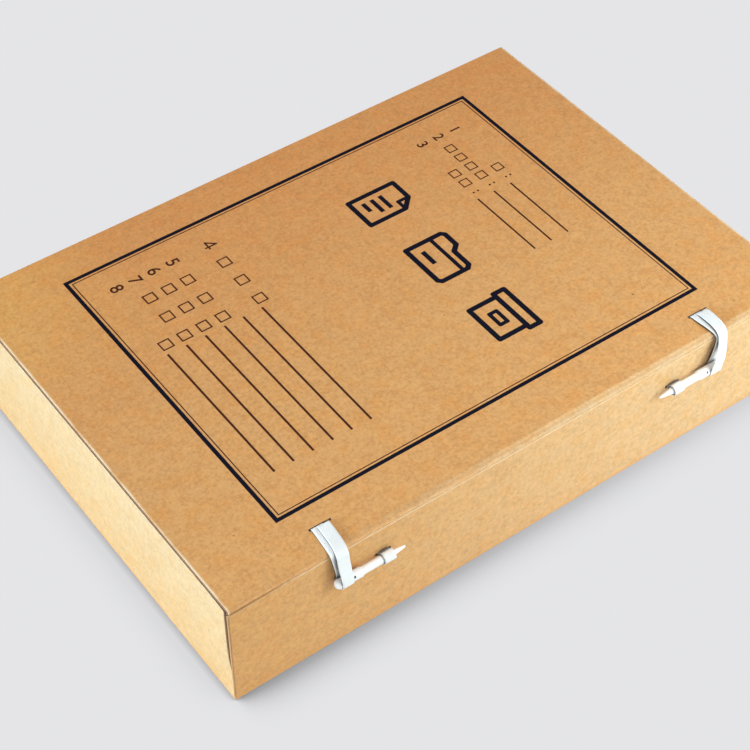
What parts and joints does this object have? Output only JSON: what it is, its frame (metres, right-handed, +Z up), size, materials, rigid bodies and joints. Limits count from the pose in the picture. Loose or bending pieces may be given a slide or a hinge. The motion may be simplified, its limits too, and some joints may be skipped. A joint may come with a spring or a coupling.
{
  "type": "document archive box",
  "caption": "Flat kraft board document box with a lid hinged on its spine, tuck and dust flaps, and cloth tape ties with toggle pegs that pass through loops on the front wall.",
  "frame": {"origin": "centre of the underside of the box, ties left out", "axes": "+X along the long side towards the right end seen from the tied front, +Y from the tied front wall towards the spine, +Z up through the lid"},
  "size_m": [0.31, 0.2239, 0.062],
  "materials": {
    "kraft_board": "matte, fine pulp grain",
    "kraft_paper": "matte",
    "cotton_tape": "woven, matte",
    "peg_plastic": "slightly glossy"
  },
  "bodies": {
    "tray": {"bottom_panel": "kraft_board", "spine_panel": "kraft_board", "front_wall": "kraft_board", "left_end_wall": "kraft_board", "right_end_wall": "kraft_board", "front_left_corner_tab": "kraft_board", "front_right_corner_tab": "kraft_board", "rear_left_corner_tab": "kraft_board", "rear_right_corner_tab": "kraft_board", "left_keeper_loop": "cotton_tape", "right_keeper_loop": "cotton_tape", "left_keeper_patch": "kraft_paper", "right_keeper_patch": "kraft_paper"},
    "lid": {"lid_panel": "kraft_board", "left_lid_tape": "cotton_tape", "right_lid_tape": "cotton_tape", "left_tail_patch": "kraft_paper", "right_tail_patch": "kraft_paper"},
    "tuck_flap": {"front_tuck_flap": "kraft_board"},
    "left_flap": {"left_dust_flap": "kraft_board"},
    "right_flap": {"right_dust_flap": "kraft_board"},
    "left_tie": {"left_tape_fall": "cotton_tape"},
    "right_tie": {"right_tape_fall": "cotton_tape"},
    "left_toggle": {"left_tape_eye": "cotton_tape", "left_peg": "peg_plastic"},
    "right_toggle": {"right_tape_eye": "cotton_tape", "right_peg": "peg_plastic"}
  },
  "joints": [
    {"name": "lid_hinge", "type": "hinge", "parent": "tray", "child": "lid", "pos_m": [0, 0.1085, 0.0595], "axis": [-1, 0, 0], "range_deg": [0, 180]},
    {"name": "tuck_flap_fold", "type": "hinge", "parent": "lid", "child": "tuck_flap", "pos_m": [0, -0.1067, 0.059], "axis": [1, 0, 0], "range_deg": [0, 70]},
    {"name": "left_flap_fold", "type": "hinge", "parent": "lid", "child": "left_flap", "pos_m": [-0.1527, 0, 0.059], "axis": [0, -1, 0], "range_deg": [0, 70]},
    {"name": "right_flap_fold", "type": "hinge", "parent": "lid", "child": "right_flap", "pos_m": [0.1527, 0, 0.059], "axis": [0, 1, 0], "range_deg": [0, 70]},
    {"name": "left_tape_swing", "type": "hinge", "parent": "lid", "child": "left_tie", "pos_m": [-0.101, -0.1097, 0.0604], "axis": [-1, 0, 0], "range_deg": [0, 170], "deforming": ["left_keeper_loop"]},
    {"name": "right_tape_swing", "type": "hinge", "parent": "lid", "child": "right_tie", "pos_m": [0.1035, -0.1097, 0.0604], "axis": [-1, 0, 0], "range_deg": [0, 170], "deforming": ["right_keeper_loop"]},
    {"name": "left_peg_slide", "type": "slide", "parent": "left_tie", "child": "left_toggle", "axis": [-1, 0, 0], "range_m": [0, 0.018], "deforming": ["left_tape_fall"]},
    {"name": "right_peg_slide", "type": "slide", "parent": "right_tie", "child": "right_toggle", "axis": [1, 0, 0], "range_m": [0, 0.018], "deforming": ["right_tape_fall"]}
  ]
}
